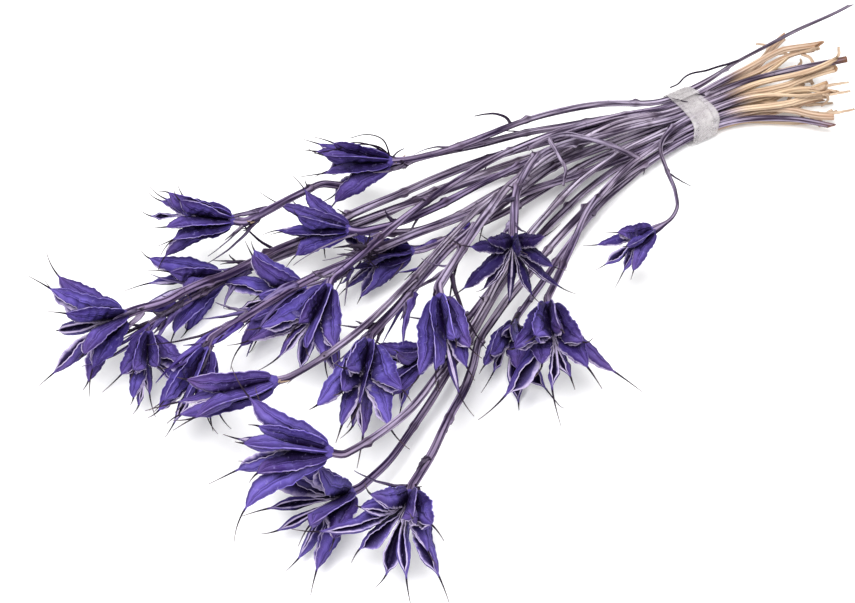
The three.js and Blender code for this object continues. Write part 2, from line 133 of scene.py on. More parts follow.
# Points of half a carpel's section, from the keel nerve over the face and round the lip to the furrow: how
# deep waves dent each, and how much it counts as pale margin, as painted shade of the dark edge in the
# grooves beside the nerves and along the edges, as pale hollow, and as painted shade of the cleft and of the
# furrow bottom
SECTION_DENT = (0, 0, 0, 0.2, 0.5, 0.7, 0.8, 0.85, 0.9, 1, 0.7, 0.3, 0.1, 0, 0, 0, 0, 0.2, 0.3)
SECTION_MARGIN = (0.55, 0.45, 0.1, 0, 0, 0, 0, 0.24, 0, 0, 0, 0, 0, 0.55, 1.1, 0.65, 0, 0, 0)
SECTION_EDGE_SHADE = (0, 0, 0.5, 1, 0.7, 0.2, 0.9, 0, 0.9, 0.2, 0, 0.1, 0.7, 0.8, 0, 0.3, 0.6, 0.1, 0)
SECTION_HOLLOW = 15 * (0,) + (0.4, 1, 1, 1)
SECTION_CLEFT_SHADE = (0, 0, 0.1, 0.2, 0.2, 0.25, 0.35, 0.2, 0.45, 0.6, 0.85, 1, 1, 0.7, 0.1, 0.2, 0.5, 0.85, 1)
SECTION_BOTTOM_SHADE = 16 * (0,) + (0.3, 0.8, 1)

# The knob under the carpels: its profile along the axis, and its sides
KNOB_ALONG = (-1.1, -0.9, -0.3, 0.3, 0.9, 1.5, 2.1, 2.5)
KNOB_RADIUS = (1.2, 1.5, 1.75, 2.15, 2.45, 2.3, 1.5, 0.4)
KNOB_SIDES = 24

# Stems: the sides of their solids, their section with the painted shade in its grooves, those that are
# thinner, how they meet the pod, and tails that took the dye
SOLID_SIDES = 5
STEM_STEP = 1.2
STEM_SIDES = 25
STEM_ROUND = (0.8, 0.98)
STEM_RIBS = 5
STEM_RIB_DEPTH = 0.13
STEM_RIB_TWIST = 45
STEM_GROOVE_SHADE = 1.1
THIN_STEMS = {20: 0.52}
THIN_TAILS = {4: 0.6, 15: 0.8}
POD_GAP = 0.3
STEM_INTO_POD = 1.4
VIOLET_TAILS = (4, 15, 16)
VIOLET_TAIL_WARP = 0.15
VIOLET_TAIL_AGED = 0.6

# Courses of stems, in metres: where the tape lets go, how far from tape and pod a stem comes free to bend and
# to be slim, where it darkens below the pod, small bends and the lengths of their waves, and the bow, wave,
# kink and rise of the tails, with the share of a tail from which it kinks
TAPE_HOLDS = 0.008
FREE_FROM_TAPE = (0.012, 0.05)
FREE_FROM_POD = (0.004, 0.03)
SLIM_FROM_TAPE = (0.02, 0.05)
SLIM_FROM_POD = (0.001, 0.01)
DARKER_BELOW_POD = (0.13, 0.02)
BEND = 0.0003
SWAY_WAVES = (0.0062, 0.0131)
LIFT_WAVES = (0.0071, 0.0117)
GIRTH_WAVE = 0.009
TAIL_BOW = 0.0035
TAIL_WAVE = 0.0018
TAIL_KINK = 0.016
TAIL_KINK_FROM = (0.5, 0.85)
TAIL_RISE = 0.003

# Knots of stems, in metres: their most, first place, least spacing and what comes on top, bare end below the
# pod, half the lengths of a knot and its bud scar, their swell by radius, share with no thread, thread length
KNOTS = 9
KNOT_FIRST = 0.03
KNOT_SPACING = (0.026, 0.04)
KNOT_FREE_END = 0.015
KNOT_HALF = 0.0014
BUD_HALF = 0.0013
KNOT_SWELL = 0.16
BUD_SWELL = 0.7
KNOT_BARE = 0.45
KNOT_THREAD = (0.002, 0.012)

# Cut ends, in metres: slant, where the dye ends behind the tape and where dyed tails look aged, how far the
# pith stains, and strips split off, with the share not split. Rings from the pith outwards: share of the
# radius, how far sunk in, and how much it counts as pith
CUT_SLANT = 0.003
UNDYED_FROM = (-0.002, 0.022)
UNDYED_BLEND = 0.016
AGED_FROM = (0.006, 0.03)
PITH_STAIN = 0.004
SPLITS = 3
SPLIT_WHOLE = 0.5
SPLIT_LENGTH = (0.007, 0.017)
PITH_RINGS = [(0.45, 0.0012, 0.9), (0.55, 0.0001, 0.7), (0.9, -0.0001, 0.4)]

# Tape: its own yaw, half sizes of the bundle inside it, turns, layers and loose end. Its wrinkles, drift
# along the bundle and wavy edges are sines: height, number in a turn, and phase
TAPE_YAW = -8
TAPE_WIDTH = 10.5
TAPE_HALF_ACROSS = 11.75
TAPE_HALF_UP = 7.3
TAPE_MIDDLE_UP = 8.0
TAPE_CORNERS = 4.0
TAPE_TURNS = 2.55
TAPE_START = -0.32
TAPE_LAYER = 0.16
TAPE_THICKNESS = 0.13
TAPE_FLAP = 6
TAPE_FLAP_LIFT = 16
TAPE_STEPS = 420
TAPE_POINTS = 11
TAPE_WRINKLES = [(0.07, 13, 0), (0.05, 29, 1)]
TAPE_DRIFT = [(1.5, 0.41, 0.6), (0.15, 3.3, 0)]
TAPE_EDGES = [(0.1, 7, 0)]

# Light: place and size of the soft boxes in metres, and their watts; the strength of the white surroundings
SOFTBOXES = {"key": ((-0.6, -0.4, 1.3), 0.6, 30), "fill": ((0.9, 0.5, 1.1), 1.4, 8)}
SKY = 0.5
WHITE = (1, 1, 1, 1)

# The floor: half its side in metres, the light it gives back, and its own glow, which keeps shadows faint
FLOOR_HALF = 3.0
FLOOR_WHITE = 0.82
FLOOR_GLOW = 0.2

# How much dry plant skin shines
DRY_SHINE = 0.12

# Camera: degrees round and above, metres to the object, the width seen at that distance, the point that it
# looks at from the middle of the tape, and the sensor in millimetres
CAMERA_AZIMUTH = -40
CAMERA_ELEVATION = 46
CAMERA_DISTANCE = 0.9
CAMERA_WIDTH_SEEN = 0.329
CAMERA_FROM_TAPE = (-0.165, -0.023, 0.022)
SENSOR_WIDTH = 36

# Withered side shoots, by the stem they grow on: radius at the root and at the tip, how withered they are,
# and points from the middle of the tape on the table
SHOOTS = {
    4: [
        (0.42, 0.14, 1, [(-137, 32, 42), (-140, 38, 47), (-146, 41, 50), (-155, 45, 50), (-164, 50, 49)]),
        (0.38, 0.14, 1, [(-137, 32, 42), (-137, 37, 48), (-141, 41, 50), (-148, 44, 50)]),
        (0.38, 0.12, 1, [(-137, 32, 42), (-142, 38, 47), (-148, 42, 49), (-155, 43, 49), (-160, 46, 48)]),
        (0.45, 0.2, 0.6, [(-136, 33, 41), (-134, 31, 45), (-132, 30, 46)]),
        (0.75, 0.22, 0.9, [(-78, 30, 23), (-80, 33, 27), (-83, 36, 28), (-90, 40, 28)]),
        (0.55, 0.35, 0.9, [(37, 4, 17), (19, 6, 20), (8, 9, 20), (5, 10, 17), (3, 12, 15)]),
    ],
    5: [(0.55, 0.25, 0.7, [(-140, 12, 42), (-150, 8, 40), (-159, 7, 38)])],
    21: [(0.55, 0.2, 0.8, [(-163, -18, 34), (-171, -22, 33), (-178, -24, 32)])],
    15: [(0.4, 1.3, 1, [(-173, -71, 30), (-181, -75, 31), (-184, -78, 30)])],
    18: [
        (1.15, 1.0, 0.05, [
            (-40, -9, 12.5), (-50, -6, 22), (-61, -4, 31), (-75, -2, 41), (-88, -4, 48), (-101, -7, 52),
        ]),
        (1.0, 0.55, 0.1, [(-88, -4, 48), (-92, -15, 48), (-94, -21, 46), (-99, -25, 44)]),
    ],
}

# Withered leaf strips below the pods, thin ones and broad ones that lie along the stem: the first of their
# draws, how many by stem, and the ranges of their length, how far below the pod they start, half their width,
# their lean off the stem in radians, how withered they are and how violet
THIN_STRIPS = {
    1: 5, 2: 8, 3: 6, 4: 5, 5: 6, 6: 8, 7: 4, 8: 10, 9: 10, 12: 6, 13: 5, 15: 4, 16: 5, 17: 6, 19: 6, 21: 8
}
BROAD_STRIPS = {2: 3, 6: 4, 8: 11, 9: 9, 12: 3, 21: 4}
STRIP_KINDS = [
    (60, THIN_STRIPS, (9, 34), (3, 34), (0.5, 1.6), (0.1, 0.7), (0.1, 0.95), (0.0, 0.3)),
    (80, BROAD_STRIPS, (14, 40), (6, 62), (1.3, 2.5), (0.02, 0.3), (0.0, 0.3), (0.5, 1.0)),
]

# Threads and strips: points along one, sides, and the step along side shoots. Then radii, of the root and the
# tip on knots and on split strips, of leaf strips' tips, and of tufts' roots, as a range, and tips
ARC_POINTS = 16
THREAD_SIDES = 8
SHOOT_STEP = 0.8
KNOT_THREAD_RADII = (0.42, 0.14)
SPLIT_RADII = (0.95, 0.6)
STRIP_TIP = 0.15
TUFT_ROOT = (0.28, 0.6)
TUFT_TIP = 0.14

# Tufts of withered threads, by stem: number of threads, length, share left tan, and the middle
TUFTS = {
    4: [(7, 5, 0.5, (-134, 31, 41))],
    10: [(9, 5, 0.8, (-252, -45, 57))],
    9: [(46, 9, 0, (-171.8, 4, 31))],
    3: [(8, 5, 0.3, (-203, 41, 45))],
    15: [(6, 4, 0.2, (-234, -96, 34))],
}


def lerp(a, b, t):
    """The value at share t from a to b."""
    return a + (b - a) * t


def smoothstep(x, low, high):
    """0 below low, 1 above high, and the cubic 3t2 - 2t3 between them."""
    t = np.clip((x - low) / (high - low), 0, 1)
    return t * t * (3 - 2 * t)


def draw(piece, k, use):
    """A repeatable draw from 0 to 1: the fraction of a large sine of the three numbers. use differs for each
    thing that is drawn."""
    v = np.sin(piece * 12.9898 + k * 78.233 + use * 37.719) * 43758.5453
    return v - np.floor(v)


def unit(v):
    """Vectors scaled to length 1 along the last axis."""
    return v / np.linalg.norm(v, axis=-1, keepdims=True)


def stacked(*parts):
    """Arrays stretched to one shape and set side by side along a new last axis."""
    return np.stack(np.broadcast_arrays(*parts), -1)


def linked(name, data):
    """An object with that data, put into the scene."""
    made = bpy.data.objects.new(name, data)
    bpy.context.scene.collection.objects.link(made)
    return made


class Skin:
    """Closed surfaces gathered into one mesh. Each is a grid of rings, joined by quads and closed by one face
    at each end. Marks are numbers kept at each point."""

    def __init__(self):
        """Starts with no surface."""
        self.points = []
        self.corners = []
        self.sizes = []
        self.marks = {}
        self.count = 0

    def add(self, grid, **marks):
        """Adds grids of shape (surface, ring, point, xyz); each mark has the shape of the grid without xyz,
        or of the grid itself for a vector."""
        surfaces, rings, around, _ = grid.shape
        index = self.count + np.arange(surfaces * rings * around).reshape(surfaces, rings, around)
        after = np.roll(index, -1, axis=2)
        quads = np.stack([index[:, :-1], after[:, :-1], after[:, 1:], index[:, 1:]], -1)
        self.corners += [quads.ravel(), index[:, 0, ::-1].ravel(), index[:, -1].ravel()]
        self.sizes += [np.full(quads.size // 4, 4), np.full(2 * surfaces, around)]
        self.points.append(grid.reshape(-1, 3))
        for name, values in marks.items():
            shape = grid.shape if np.ndim(values) == 4 else grid.shape[:3]
            wide = np.broadcast_to(values, shape)
            self.marks.setdefault(name, []).append(wide.reshape(index.size, -1))
        self.count += index.size

    def piece(self, name, material):
        """The gathered surfaces as one smooth mesh object."""
        mesh = bpy.data.meshes.new(name)
        points = np.concatenate(self.points)
        corners = np.concatenate(self.corners)
        sizes = np.concatenate(self.sizes)
        mesh.vertices.add(len(points))
        mesh.vertices.foreach_set("co", points.astype(np.float32).ravel())
        mesh.loops.add(len(corners))
        mesh.loops.foreach_set("vertex_index", corners.astype(np.int32))
        mesh.polygons.add(len(sizes))
        mesh.polygons.foreach_set("loop_start", np.concatenate([[0], np.cumsum(sizes)[:-1]]).astype(np.int32))
        mesh.polygons.foreach_set("use_smooth", np.ones(len(sizes), bool))
        for label, parts in self.marks.items():
            values = np.concatenate(parts)
            kind, field = ("FLOAT_VECTOR", "vector") if values.shape[1] == 3 else ("FLOAT", "value")
            kept = mesh.attributes.new(label, kind, "POINT")
            kept.data.foreach_set(field, values.astype(np.float32).ravel())
        mesh.update(calc_edges=True)
        mesh.validate()
        mesh.materials.append(material)
        return linked(name, mesh)


def tube(line, radius, sides, shape=None):
    """A round section carried along a line, on two directions square to it. shape scales the radius at each
    point."""
    ahead = unit(np.gradient(line, axis=0))
    fixed = np.eye(3)[np.argmin(np.abs(ahead).mean(0))]
    aside = unit(np.cross(np.broadcast_to(fixed, ahead.shape), ahead))
    above = np.cross(ahead, aside)
    angle = TURN * np.arange(sides) / sides
    rim = np.cos(angle)[None, :, None] * aside[:, None] + np.sin(angle)[None, :, None] * above[:, None]
    reach = np.broadcast_to(radius[:, None], (len(line), sides))
    if shape is not None:
        reach = reach * shape
    return line[:, None] + reach[..., None] * rim


def feed(tree, node, inputs):
    """Sets a node's inputs to values, or joins them to other nodes' outputs."""
    for key, value in inputs.items():
        if isinstance(value, bpy.types.NodeSocket):
            tree.links.new(value, node.inputs[key])
        else:
            node.inputs[key].default_value = value


def put(tree, kind, inputs=None, **settings):
    """A node with its settings and inputs."""
    node = tree.nodes.new(kind)
    for name, value in settings.items():
        setattr(node, name, value)
    feed(tree, node, inputs or {})
    return node


def mixed(tree, share, a, b):
    """Colour a turned into colour b by a share."""
    return put(tree, "ShaderNodeMix", {0: share, 6: a, 7: b}, data_type="RGBA").outputs[2]


def layered(tree, colour, layers):
    """A colour with others laid over it in turn: each one's mask, the mask's highest share, and colour."""
    for mask, most, over in layers:
        colour = mixed(tree, sums(tree, "MULTIPLY", mask, most), colour, over)
    return colour


def sums(tree, way, a, b, clamp=False):
    """One step of arithmetic on two values."""
    return put(tree, "ShaderNodeMath", {0: a, 1: b}, operation=way, use_clamp=clamp).outputs[0]


def ranged(tree, value, low, high, to_low=0.0, to_high=1.0):
    """A value stretched from one range to another, and held inside it."""
    ends = {"Value": value, "From Min": low, "From Max": high, "To Min": to_low, "To Max": to_high}
    return put(tree, "ShaderNodeMapRange", ends).outputs[0]


def noise(tree, vector, scale, detail, roughness):
    """Cloudy noise from 0 to 1 at that scale."""
    ends = {"Vector": vector, "Scale": scale, "Detail": detail, "Roughness": roughness}
    return put(tree, "ShaderNodeTexNoise", ends).outputs["Fac"]


def mark(tree, name, vector=False):
    """A number, or a vector, that the piece keeps at each of its points."""
    return put(tree, "ShaderNodeAttribute", attribute_name=name).outputs["Vector" if vector else "Fac"]


def srgb(red, green, blue):
    """A colour as it shows on a screen, 0 to 255, in the linear values that shading uses."""
    c = np.array([red, green, blue]) / 255
    linear = np.where(c <= 0.04045, c / 12.92, ((c + 0.055) / 1.055) ** 2.4)
    return (*linear, 1.0)


def new_group(name, takes, gives):
    """An empty shader group, with the kinds of value it takes by name, and the names of what it gives."""
    group = bpy.data.node_groups.new(name, "ShaderNodeTree")
    for label, kind in takes.items():
        group.interface.new_socket(label, in_out="INPUT", socket_type=f"NodeSocket{kind}")
    for label in gives:
        group.interface.new_socket(label, in_out="OUTPUT", socket_type="NodeSocketFloat")
    return group, put(group, "NodeGroupInput").outputs, put(group, "NodeGroupOutput")


def dry_fibre_group():
    """Lengthwise fibres of dry plant skin: broad and fine streaks of noise along the grain."""
    group, given, out = new_group("dry_fibre", {"Grain": "Vector"}, ["Streak", "Fine", "Height"])
    streak = ranged(group, noise(group, given["Grain"], 1.0, 3.0, 0.5), 0.34, 0.66)
    thread = ranged(group, noise(group, given["Grain"], 3.7, 4.0, 0.6), 0.32, 0.68)
    height = sums(group, "ADD", sums(group, "MULTIPLY", streak, 0.6), sums(group, "MULTIPLY", thread, 0.4))
    feed(group, out, {"Streak": streak, "Fine": thread, "Height": height})
    return group


def dye_mottle_group():
    """Dye taken up unevenly: soft clouds, with small flecks where it missed."""
    group, given, out = new_group("dye_mottle", {"Scale": "Float"}, ["Cloud", "Fleck"])
    place = put(group, "ShaderNodeTexCoord").outputs["Object"]
    cloud = noise(group, place, given["Scale"], 3.0, 0.5)
    fleck = noise(group, place, sums(group, "MULTIPLY", given["Scale"], 9.0), 3.0, 0.6)
    feed(group, out, {"Cloud": ranged(group, cloud, 0.35, 0.65), "Fleck": ranged(group, fleck, 0.6, 0.74)})
    return group


def worn_margin_group():
    """A margin worn pale: the mask, broken up by noise along the edge."""
    group, given, out = new_group("worn_margin", {"Margin": "Float", "Scale": "Float"}, ["Mask"])
    place = put(group, "ShaderNodeTexCoord").outputs["Object"]
    rough = noise(group, place, given["Scale"], 3.0, 0.6)
    lift = sums(group, "MULTIPLY", sums(group, "SUBTRACT", rough, 0.5), 2.2)
    worn = sums(group, "MULTIPLY", sums(group, "ADD", lift, 1.0), given["Margin"])
    feed(group, out, {"Mask": ranged(group, worn, 0.3, 0.85)})
    return group


DRY_FIBRE = dry_fibre_group()
DYE_MOTTLE = dye_mottle_group()
WORN_MARGIN = worn_margin_group()


def placed(tree, group, **inputs):
    """A shader group placed in a material with its own values."""
    return put(tree, "ShaderNodeGroup", inputs, node_tree=group).outputs


def new_material(name):
    """A material with one Principled shader, and its tree."""
    material = bpy.data.materials.new(name)
    material.use_nodes = True
    tree = material.node_tree
    return material, tree, tree.nodes["Principled BSDF"]


def bumped(tree, height, strength, distance):
    """A normal raised by a height."""
    ends = {"Height": height, "Strength": strength, "Distance": distance}
    return put(tree, "ShaderNodeBump", ends).outputs["Normal"]


def dyed_pod_material():
    """Dyed dry seed pod: uneven violet faces, pale worn margins, pale insides and dark beaks, with painted
    shade:
    near black in the clefts, the furrows and the crevices its own ambient occlusion finds, and dark in the
    grooves and along the edges. Darker pods take the near black of the clefts as darker dye."""
    material, tree, shader = new_material("dyed_pod")
    fibre = placed(tree, DRY_FIBRE, Grain=mark(tree, "grain", True))
    mottle = placed(tree, DYE_MOTTLE, Scale=80.0)
    margin = placed(tree, WORN_MARGIN, Margin=mark(tree, "margin"), Scale=320.0)
    beak = mark(tree, "beak")
    cloud = sums(tree, "MULTIPLY", mottle["Cloud"], 0.5)
    tone = sums(tree, "MULTIPLY", mark(tree, "tone"), 0.65)
    colour = mixed(tree, sums(tree, "ADD", cloud, tone, True), srgb(34, 6, 122), srgb(138, 120, 232))
    # Painted shade: the pod's own ambient occlusion, darkening its enclosed crevices
    occlusion_shade = put(tree, "ShaderNodeAmbientOcclusion", {"Distance": 0.006}, only_local=True, samples=6)
    dry_beak = mixed(tree, ranged(tree, beak, 0.4, 1.0), srgb(34, 24, 40), srgb(96, 80, 84))
    colour = layered(tree, colour, [
        (mark(tree, "tint"), 0.8, srgb(92, 62, 120)),
        (fibre["Streak"], 0.4, srgb(28, 4, 92)),
        (fibre["Fine"], 0.35, srgb(144, 132, 214)),
        # painted shade, dark in the grooves beside the nerves and along the edges
        (mark(tree, "edge"), 0.75, srgb(22, 2, 60)),
        (mark(tree, "hollow"), 0.25, srgb(150, 136, 186)),
        # painted shade between carpels and in the furrows, and on darker pods their darker dye
        (mark(tree, "cleft_shade_and_dye"), 1.0, srgb(13, 1, 36)),
        # painted shade where the ambient occlusion finds the pod enclosed
        (ranged(tree, occlusion_shade.outputs["AO"], 0.86, 0.34), 0.94, srgb(12, 1, 36)),
        (margin["Mask"], 0.68, srgb(212, 198, 226)),
        (mottle["Fleck"], 0.3, srgb(150, 138, 196)),
        (ranged(tree, beak, 0.0, 0.14), 1.0, dry_beak),
    ])
    crinkle = noise(tree, put(tree, "ShaderNodeTexCoord").outputs["Object"], 650.0, 3.0, 0.6)
    relief = sums(tree, "ADD", fibre["Height"], sums(tree, "MULTIPLY", crinkle, 1.4))
    feed(tree, shader, {
        "Base Color": colour,
        "Roughness": ranged(tree, fibre["Height"], 0.0, 1.0, 0.5, 0.75),
        "Normal": bumped(tree, relief, 0.6, 0.0006),
        "Specular IOR Level": DRY_SHINE,
    })
    return material


def dyed_stem_material():
    """Dyed dry stem: grey mauve with pale ribs and painted shade dark in the grooves between them, violet
    where it is leafy, tan where the dye never reached, dark at the knots and black where it has withered."""
    material, tree, shader = new_material("dyed_stem")
    fibre = placed(tree, DRY_FIBRE, Grain=mark(tree, "grain", True))
    mottle = placed(tree, DYE_MOTTLE, Scale=55.0)
    streak, fine = fibre["Streak"], fibre["Fine"]
    tone = mark(tree, "tone")
    # painted shade in the grooves between the ribs
    groove = mark(tree, "groove")
    base = mixed(tree, tone, srgb(148, 132, 158), srgb(94, 76, 116))
    dark = mixed(tree, tone, srgb(34, 21, 42), srgb(25, 9, 46))
    pale = mixed(tree, tone, srgb(222, 211, 232), srgb(152, 134, 174))
    tan = mixed(tree, ranged(tree, tone, 0.0, 0.4), srgb(234, 210, 172), srgb(208, 182, 162))
    tan = layered(tree, tan, [
        (ranged(tree, streak, 0.3, 0.9), 0.7, srgb(168, 124, 94)),
        (fine, 0.5, srgb(234, 214, 190)),
        # painted shade in the grooves of the tan tails
        (groove, 0.6, srgb(134, 92, 64)),
    ])
    colour = layered(tree, base, [
        (ranged(tree, streak, 0.6, 0.1), 0.85, pale),
        (fine, 0.35, pale),
        (mottle["Cloud"], 0.3, srgb(116, 96, 98)),
        (ranged(tree, streak, 0.45, 0.9), 0.9, dark),
        # painted shade in the grooves between the ribs
        (groove, 1.0, dark),
        (mottle["Fleck"], 0.55, dark),
        (mark(tree, "violet"), 1.0, mixed(tree, streak, srgb(104, 86, 170), srgb(36, 12, 84))),
        (mark(tree, "undyed"), 1.0, tan),
        (mark(tree, "knot"), 0.65, srgb(52, 38, 50)),
        (mark(tree, "pith"), 1.0, srgb(150, 104, 70)),
        (mark(tree, "withered"), 1.0, srgb(32, 18, 40)),
    ])
    feed(tree, shader, {
        "Base Color": colour,
        "Roughness": ranged(tree, fibre["Height"], 0.0, 1.0, 0.7, 0.92),
        "Normal": bumped(tree, fibre["Height"], 0.8, 0.0006),
        "Specular IOR Level": DRY_SHINE,
    })
    return material


def milky_tape_material():
    """Milky clear tape: cloudy, wrinkled across, more see-through between the wrinkles."""
    material, tree, shader = new_material("milky_tape")
    crease = placed(tree, DRY_FIBRE, Grain=mark(tree, "grain", True))
    mottle = placed(tree, DYE_MOTTLE, Scale=220.0)
    colour = mixed(tree, mottle["Cloud"], srgb(204, 198, 200), srgb(232, 228, 228))
    colour = layered(tree, colour, [(crease["Fine"], 0.45, srgb(176, 170, 173))])
    feed(tree, shader, {
        "Base Color": colour,
        "Alpha": ranged(tree, crease["Streak"], 0.0, 1.0, 0.22, 0.45),
        "Roughness": ranged(tree, crease["Height"], 0.0, 1.0, 0.25, 0.5),
        "Normal": bumped(tree, crease["Height"], 0.5, 0.0004),
    })
    return material


def pod_axes(pod):
    """The pod's own directions as rows: aside (level), above, and the axis from foot to beaks."""
    yaw, pitch = np.radians(pod[:2])
    axis = np.array([np.cos(yaw) * np.cos(pitch), np.sin(yaw) * np.cos(pitch), np.sin(pitch)])
    aside = np.array([-np.sin(yaw), np.cos(yaw), 0])
    return np.stack([aside, np.cross(axis, aside), axis])


def carpel_lines(number, pod, s):
    """The middle lines of all carpels: a circular arc from the foot to the end of the body (s from 0 to 1),
    then a second arc along the beak (s from 1 to 2). Gives how far they are out from the axis and along it,
    their angle to it, and their bearing round it."""
    _, _, turn, carpels, flare_foot, flare_beak, size = pod
    k = np.arange(carpels)[:, None, None]
    sway = draw(number, k, 2) - 0.5
    foot = np.radians(flare_foot + FOOT_SWAY * sway)
    end = np.radians(flare_beak + END_SWAY * sway)
    length = CARPEL_LENGTH * size * (1 + LENGTH_SPREAD * (draw(number, k, 3) - 0.5))
    beak = BEAK_LENGTH * size * (1 + BEAK_SPREAD * (draw(number, k, 4) - 0.5))
    curl = end + np.radians(lerp(*BEAK_CURL, draw(number, k, 5)))
    spacing = TURN / carpels
    bearing = spacing * (k + SPACING_SPREAD * (draw(number, k, 1) - 0.5)) + np.radians(turn)
    body_angle = lerp(foot, end, np.clip(s, 0, 1))
    beak_angle = lerp(end, curl, np.clip(s - 1, 0, 1))
    body_reach = length / (end - foot)
    beak_reach = beak / (curl - end)
    out = CARPEL_START_OUT * size + body_reach * (np.cos(foot) - np.cos(body_angle))
    out = out + beak_reach * (np.cos(end) - np.cos(beak_angle))
    along = CARPEL_START_ALONG * size + body_reach * (np.sin(body_angle) - np.sin(foot))
    along = along + beak_reach * (np.sin(beak_angle) - np.sin(end))
    return out, along, np.where(s <= 1, body_angle, beak_angle), bearing


def waves(number, k, use, s, turns):
    """A gentle wave along each carpel: three sines of the share s with phases drawn for the carpel."""
    first, second = TURN * draw(number, k, use), TURN * draw(number, k, use + 0.5)
    slow = 0.65 * np.sin(TURN * turns * s + first) + 0.35 * np.sin(5.2 * np.pi * turns * s + second)
    return slow + 0.3 * np.sin(13 * np.pi * turns * s + first + second)


def half_sections(number, pod, s, out, angle, joined, loose):
    """Half a boat-shaped section for each carpel and station: points aside of its middle and off its line.

    They run from the keel nerve over the flat face to the lip, round its rim and down the inner wall to the
    furrow. In the lower part neighbours widen until they meet. Waves along the carpel bend its edges."""
    carpels, flare_beak, size = pod[3], pod[5], pod[6]
    k = np.arange(carpels)[:, None, None]
    body = np.clip(s, 0, 1)
    vigour = lerp(*VIGOUR, draw(number, k, 11))

    def depth(foot, tip, swell, skew):
        """A depth that runs straight from foot to tip, plus the swell of half a sine that skew shifts."""
        full = np.clip(np.sin(np.pi * body**skew), 0, 1) ** FULLNESS
        return size * (lerp(foot, tip, body) + vigour * swell * full)

    gape = lerp(*GAPE_RANGE, smoothstep(flare_beak, *FLARE_RANGE)) * lerp(*GAPE_SPREAD, draw(number, k, 18))
    burst = np.clip(gape, 0, 1) * SHUT_PODS.get(number, 1)
    gaping = burst * smoothstep(s, joined, joined + 0.25) * (1 - smoothstep(s, 0.85, 1))
    fused = 1 - smoothstep(s, joined - 0.12, joined + 0.03)
    keel = depth(*KEEL) * (1 + WAVE * loose * waves(number, k, 12, s, 1.3))
    lip = np.minimum(depth(*LIP), (out - AXIS_GAP) / np.cos(angle))
    lip = lip * (1 + 1.4 * WAVE * loose * waves(number, k, 13, s, 1.7))
    sides = -lip * lerp(SIDES_CLOSED, 1, gaping)
    room = np.tan(np.pi / carpels) * (out + sides * np.cos(angle))
    free = np.minimum(lerp(depth(*SIDE), depth(*OPEN_SIDE), gaping), ROOM_SHARE * room)
    spread = lerp(free, FUSED_SHARE * room, fused)
    furrow = -lip + gaping * (lip + keel - WALL * size)
    scale = size * np.clip((keel + lip) / (4 * size), 0.2, 1)
    nerve = np.minimum(NERVE_HALF * scale, 0.45 * spread)
    crest = NERVE_RISE * scale
    lips = lerp(np.minimum(LIP_SHUT * scale, spread), spread, gaping)
    rim = np.minimum(RIM_WIDTH * scale, lips)

    aside = [0 * keel, 0.5 * nerve, 0.95 * nerve, 1.04 * nerve]
    off = [keel, keel - 0.15 * crest, keel - 0.8 * crest, keel - 1.7 * crest]
    for f, ridge in zip(FACE_SHARES, FACE_NERVE):
        aside.append(lerp(nerve, spread, f**0.55 + FACE_SWELL * np.sin(np.pi * f)) + ridge * crest)
        off.append(lerp(keel - 1.7 * crest, sides, f))
    for f in (0.5, 1):
        aside.append(lerp(spread, lips, np.sin(np.pi / 2 * f)))
        off.append(lerp(sides, -lip, f))
    aside += [lips - 0.5 * rim, lips - rim]
    off += [-lip - 0.3 * rim, -lip + 0.2 * rim]
    for f in (0.4, 0.75, 1):
        aside.append((lips - rim) * (1 - f**1.2))
        off.append(lerp(-lip + 0.2 * rim, furrow, f))
    return np.concatenate(np.broadcast_arrays(*aside), -1), np.concatenate(np.broadcast_arrays(*off), -1)


def carpel_marks(number, k, s, joined, thread, around):
    """What the carpels' material needs at each point. Edge and cleft are painted shade: dark in the grooves,
    between neighbouring carpels towards their foot and down in the furrow; on darker pods the cleft also
    carries their darker dye. Marks fade towards the thread of the beak, and darker pods have less that is
    pale. The grain is drawn out along the carpel."""
    margin, edge, hollow, cleft_shade_and_dye, furrow_shade = np.array(
        [SECTION_MARGIN, SECTION_EDGE_SHADE, SECTION_HOLLOW, SECTION_CLEFT_SHADE, SECTION_BOTTOM_SHADE]
    )[:, around]
    dark = DARK_PODS.get(number, 0)
    near = lerp(0.3, 1, 1 - smoothstep(s, joined, joined + 0.45))
    faded = (1 - thread) * smoothstep(s, 0.02, 0.2) * (1 - 0.4 * dark)
    tint = 0.75 * draw(number, k, 16) ** 1.5 + 0.5 * smoothstep(s, 0.55, 1)
    across = around / around.max()
    grain = [5 * across + 3.7 * k, 1.6 * s + 0.4 * across, 11.3 * number]
    return {
        "margin": margin * faded * lerp(0.75, 1.3, draw(number, k, 17)),
        # edge: painted shade in the grooves beside the nerves and along the edges
        "edge": edge * (1 - thread),
        "hollow": hollow * (1 - thread) * (1 - dark),
        # painted shade between neighbouring carpels near the foot and in the furrow bottom, and on darker
        # pods their darker dye
        "cleft_shade_and_dye": np.maximum(np.maximum(cleft_shade_and_dye * near, 0.85 * furrow_shade), 0.8 * dark) * (1 - thread),
        "beak": np.clip(s - 1, 0, 1),
        "tint": tint,
        "tone": draw(number, k, 19) - dark,
        "grain": stacked(*grain),
    }


